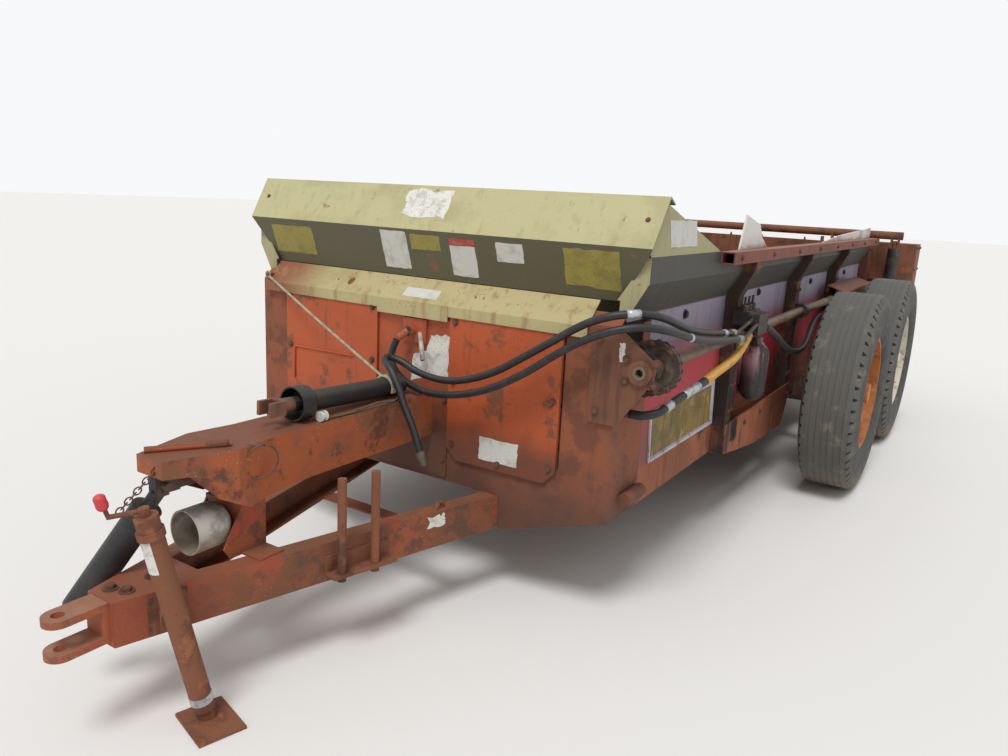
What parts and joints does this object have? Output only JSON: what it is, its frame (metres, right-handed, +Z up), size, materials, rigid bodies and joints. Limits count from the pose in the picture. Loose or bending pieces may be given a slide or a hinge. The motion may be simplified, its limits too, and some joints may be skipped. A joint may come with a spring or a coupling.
{
  "type": "tandem axle box manure spreader",
  "caption": "Towed box manure spreader with tandem wheels, a push panel, a lifting rear gate, rear beaters, a side drive shaft and a front jack.",
  "frame": {"origin": "on the ground, at the middle of the machine's length and width", "axes": "+Z up, -Y towards the hitch, +X to the machine's left"},
  "size_m": [2.6598, 6.378, 1.473],
  "materials": {
    "orange_paint": "orange paint worn through to rust",
    "rusty_steel": "brown rust over old paint",
    "tan_paint": "faded tan paint",
    "grey_sheet": "dull grey sheet with red and lilac fading",
    "dark_steel": "dark oily steel",
    "zinc_steel": "dull bare steel",
    "stained_sheet": "stained brown sheet",
    "white_liner": "white liner sheet",
    "grey_plastic": "weathered grey plastic",
    "black_plastic": "black plastic guard",
    "tyre_rubber": "worn dusty rubber",
    "sign_paint": "faded lilac and white sign, blank",
    "black_hose": "black rubber hose",
    "yellow_sleeve": "yellow sleeve on a black hose",
    "rope_fibre": "old fibre rope",
    "white_paint": "off-white paint"
  },
  "bodies": {
    "chassis": {"tongue_frame": "orange_paint", "hitch_clevis": "rusty_steel", "rod_stand": "rusty_steel", "driveline_housing": "orange_paint", "housing_post": "orange_paint", "driveline_bell": "grey_plastic", "pto_lower_half": "black_plastic", "pto_upper_half": "black_plastic", "jack_bracket": "rusty_steel", "front_frame": "rusty_steel", "covers": "orange_paint", "centre_panel": "orange_paint", "ledge": "tan_paint", "hood": "tan_paint", "side_walls": "grey_sheet", "ribs": "dark_steel", "top_rails": "rusty_steel", "main_frame": "rusty_steel", "floor": "stained_sheet", "bulkhead": "grey_sheet", "liners": "white_liner", "skirt_plates": "rusty_steel", "axle_tube": "rusty_steel", "bogie_beams": "rusty_steel", "bearing_plate": "orange_paint", "shaft_bearings": "dark_steel", "drive_chain": "dark_steel", "shaft_guard": "orange_paint", "valve_block": "dark_steel", "oiler": "dark_steel", "push_barrel": "dark_steel", "lift_cylinders": "dark_steel", "rear_frame": "rusty_steel", "chain_case": "orange_paint", "side_sign": "sign_paint", "hose_a": "black_hose", "hose_b": "black_hose", "hose_yellow": "yellow_sleeve", "hose_loop": "black_hose", "tie_rope": "rope_fibre"},
    "jack": {"jack_tube": "rusty_steel"},
    "jack_leg": {"jack_leg": "zinc_steel"},
    "wheel_front_left": {"tyre_front_left": "tyre_rubber", "rim_front_left": "orange_paint"},
    "wheel_rear_left": {"tyre_rear_left": "tyre_rubber", "rim_rear_left": "white_paint"},
    "wheel_front_right": {"tyre_front_right": "tyre_rubber", "rim_front_right": "orange_paint"},
    "wheel_rear_right": {"tyre_rear_right": "tyre_rubber", "rim_rear_right": "white_paint"},
    "side_shaft": {"side_shaft": "rusty_steel", "side_sprocket": "dark_steel"},
    "input_shaft": {"input_shaft": "dark_steel"},
    "push_panel": {"push_panel": "stained_sheet"},
    "push_stage_1": {"push_stage_1": "zinc_steel"},
    "push_stage_2": {"push_stage_2": "zinc_steel"},
    "push_stage_3": {"push_stage_3": "zinc_steel"},
    "gate": {"gate": "rusty_steel"},
    "lower_beater": {"lower_beater": "rusty_steel"},
    "upper_beater": {"upper_beater": "rusty_steel"}
  },
  "joints": [
    {"name": "wheel_front_left_spin", "type": "hinge", "parent": "chassis", "child": "wheel_front_left", "pos_m": [1.19, 0.45, 0.525], "axis": [1, 0, 0], "continuous": true},
    {"name": "wheel_rear_left_spin", "type": "hinge", "parent": "chassis", "child": "wheel_rear_left", "pos_m": [1.19, 1.69, 0.525], "axis": [1, 0, 0], "continuous": true},
    {"name": "wheel_front_right_spin", "type": "hinge", "parent": "chassis", "child": "wheel_front_right", "pos_m": [-1.19, 0.45, 0.525], "axis": [1, 0, 0], "continuous": true},
    {"name": "wheel_rear_right_spin", "type": "hinge", "parent": "chassis", "child": "wheel_rear_right", "pos_m": [-1.19, 1.69, 0.525], "axis": [1, 0, 0], "continuous": true},
    {"name": "jack_swing", "type": "hinge", "parent": "chassis", "child": "jack", "pos_m": [0.15987, -2.92861, 0.32], "axis": [0.966, -0.2585, 0], "range_deg": [0, 60]},
    {"name": "jack_extend", "type": "slide", "parent": "jack", "child": "jack_leg", "axis": [0.0537, 0.2008, -0.9781], "range_m": [0, 0.25]},
    {"name": "side_shaft_spin", "type": "hinge", "parent": "chassis", "child": "side_shaft", "pos_m": [0.916, 0, 0.93], "axis": [0, 1, 0], "continuous": true},
    {"name": "input_shaft_spin", "type": "hinge", "parent": "chassis", "child": "input_shaft", "pos_m": [0, 0, 0.64], "axis": [0, 1, 0], "continuous": true},
    {"name": "lower_beater_spin", "type": "hinge", "parent": "chassis", "child": "lower_beater", "pos_m": [0, 2.965, 0.72], "axis": [1, 0, 0], "continuous": true},
    {"name": "upper_beater_spin", "type": "hinge", "parent": "chassis", "child": "upper_beater", "pos_m": [0, 2.925, 1.105], "axis": [1, 0, 0], "continuous": true},
    {"name": "push_slide", "type": "slide", "parent": "chassis", "child": "push_panel", "axis": [0, 1, 0], "range_m": [0, 3.32]},
    {"name": "push_stage_1_slide", "type": "slide", "parent": "chassis", "child": "push_stage_1", "axis": [0, 1, 0], "range_m": [0, 0.83]},
    {"name": "push_stage_2_slide", "type": "slide", "parent": "chassis", "child": "push_stage_2", "axis": [0, 1, 0], "range_m": [0, 1.66]},
    {"name": "push_stage_3_slide", "type": "slide", "parent": "chassis", "child": "push_stage_3", "axis": [0, 1, 0], "range_m": [0, 2.49]},
    {"name": "gate_slide", "type": "slide", "parent": "chassis", "child": "gate", "axis": [0, 0, 1], "range_m": [0, 0.65]}
  ],
  "couplings": [
    {"joint": "input_shaft_spin", "follows": "side_shaft_spin", "ratio": 1},
    {"joint": "lower_beater_spin", "follows": "side_shaft_spin", "ratio": 0.5},
    {"joint": "upper_beater_spin", "follows": "side_shaft_spin", "ratio": 1},
    {"joint": "push_stage_1_slide", "follows": "push_slide", "ratio": 0.25},
    {"joint": "push_stage_2_slide", "follows": "push_slide", "ratio": 0.5},
    {"joint": "push_stage_3_slide", "follows": "push_slide", "ratio": 0.75}
  ]
}
